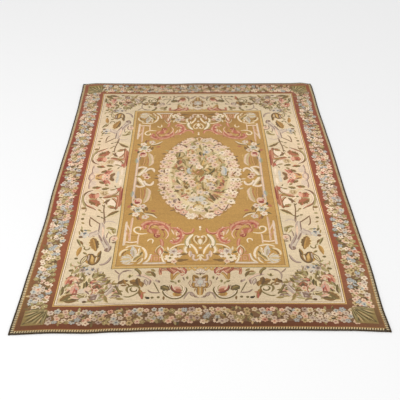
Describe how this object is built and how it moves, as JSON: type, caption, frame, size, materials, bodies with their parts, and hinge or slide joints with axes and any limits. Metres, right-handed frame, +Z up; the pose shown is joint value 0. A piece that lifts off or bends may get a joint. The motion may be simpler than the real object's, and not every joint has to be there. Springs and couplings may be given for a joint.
{
  "type": "aubusson rug",
  "caption": "Flat-woven wool floor rug with an oval flower medallion, scrolled field and garland border, bound at its edge, lying flat.",
  "frame": {"origin": "centre of the rug's footprint, on the surface that it lies on", "axes": "+X across the rug's width, +Y along its length, away from the end that faces the viewer, +Z up"},
  "size_m": [1.841, 2.7577, 0.0147],
  "materials": {
    "rug_wool": "matt",
    "binding_wool": "matt"
  },
  "bodies": {
    "root": {"rug": "rug_wool", "binding_left": "binding_wool", "binding_right": "binding_wool", "binding_front": "binding_wool", "binding_back": "binding_wool"}
  },
  "joints": []
}
